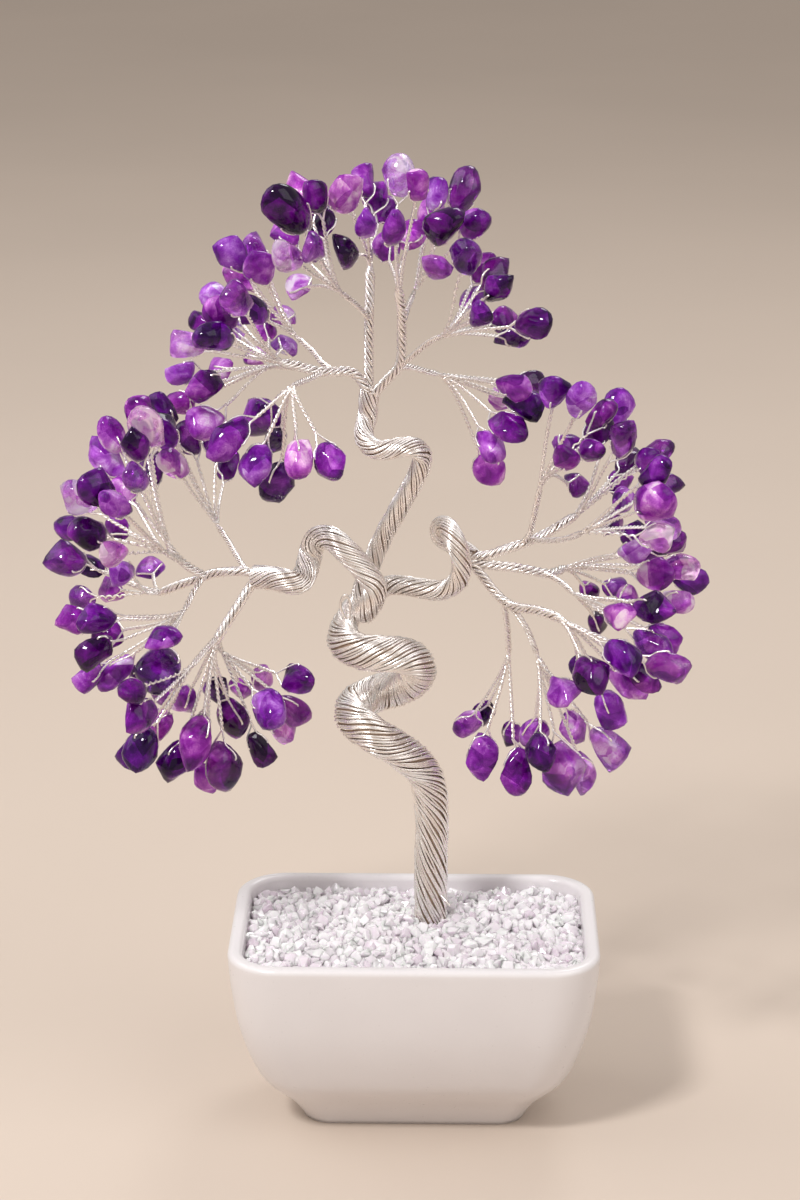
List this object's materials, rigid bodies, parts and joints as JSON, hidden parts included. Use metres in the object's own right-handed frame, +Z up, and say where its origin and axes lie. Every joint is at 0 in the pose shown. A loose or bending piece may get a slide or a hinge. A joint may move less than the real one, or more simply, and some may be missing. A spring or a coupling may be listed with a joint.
{
  "type": "gemstone tree ornament",
  "caption": "Tabletop ornament: a bonsai-shaped tree of twisted silver wire with tumbled amethyst chips, set in a glazed rectangular pot of quartz gravel.",
  "frame": {"origin": "middle of the face that the pot stands on", "axes": "+Z up along the tree, -Y towards the viewer, +X to the viewer's right along the pot's long side"},
  "size_m": [0.1783, 0.1071, 0.2676],
  "materials": {
    "pot_glaze": "satin",
    "plaster": "matte",
    "quartz_gravel": "rough",
    "silver_wire": "polished",
    "amethyst": "polished"
  },
  "bodies": {
    "root": {"pot": "pot_glaze", "plaster_fill": "plaster", "gravel_bed": "quartz_gravel", "trunk": "silver_wire", "limb_top": "silver_wire", "limb_left": "silver_wire", "limb_right": "silver_wire", "peak_wires": "silver_wire", "peak_chips": "amethyst", "peak_left_wires": "silver_wire", "peak_left_chips": "amethyst", "peak_front_wires": "silver_wire", "peak_front_chips": "amethyst", "peak_back_wires": "silver_wire", "peak_back_chips": "amethyst", "peak_right_wires": "silver_wire", "peak_right_chips": "amethyst", "shoulder_right_wires": "silver_wire", "shoulder_right_chips": "amethyst", "shoulder_left_front_wires": "silver_wire", "shoulder_left_front_chips": "amethyst", "shoulder_left_high_wires": "silver_wire", "shoulder_left_high_chips": "amethyst", "shoulder_left_back_wires": "silver_wire", "shoulder_left_back_chips": "amethyst", "shoulder_left_low_wires": "silver_wire", "shoulder_left_low_chips": "amethyst", "left_middle_wires": "silver_wire", "left_middle_chips": "amethyst", "left_inner_wires": "silver_wire", "left_inner_chips": "amethyst", "left_upper_back_wires": "silver_wire", "left_upper_back_chips": "amethyst", "left_upper_front_wires": "silver_wire", "left_upper_front_chips": "amethyst", "left_lower_wires": "silver_wire", "left_lower_chips": "amethyst", "left_bottom_front_wires": "silver_wire", "left_bottom_front_chips": "amethyst", "left_bottom_outer_wires": "silver_wire", "left_bottom_outer_chips": "amethyst", "left_bottom_back_wires": "silver_wire", "left_bottom_back_chips": "amethyst", "right_upper_back_wires": "silver_wire", "right_upper_back_chips": "amethyst", "right_inner_wires": "silver_wire", "right_inner_chips": "amethyst", "right_upper_front_wires": "silver_wire", "right_upper_front_chips": "amethyst", "right_middle_back_wires": "silver_wire", "right_middle_back_chips": "amethyst", "right_middle_wires": "silver_wire", "right_middle_chips": "amethyst", "right_lower_front_wires": "silver_wire", "right_lower_front_chips": "amethyst", "right_bottom_wires": "silver_wire", "right_bottom_chips": "amethyst", "right_bottom_inner_wires": "silver_wire", "right_bottom_inner_chips": "amethyst"}
  },
  "joints": []
}
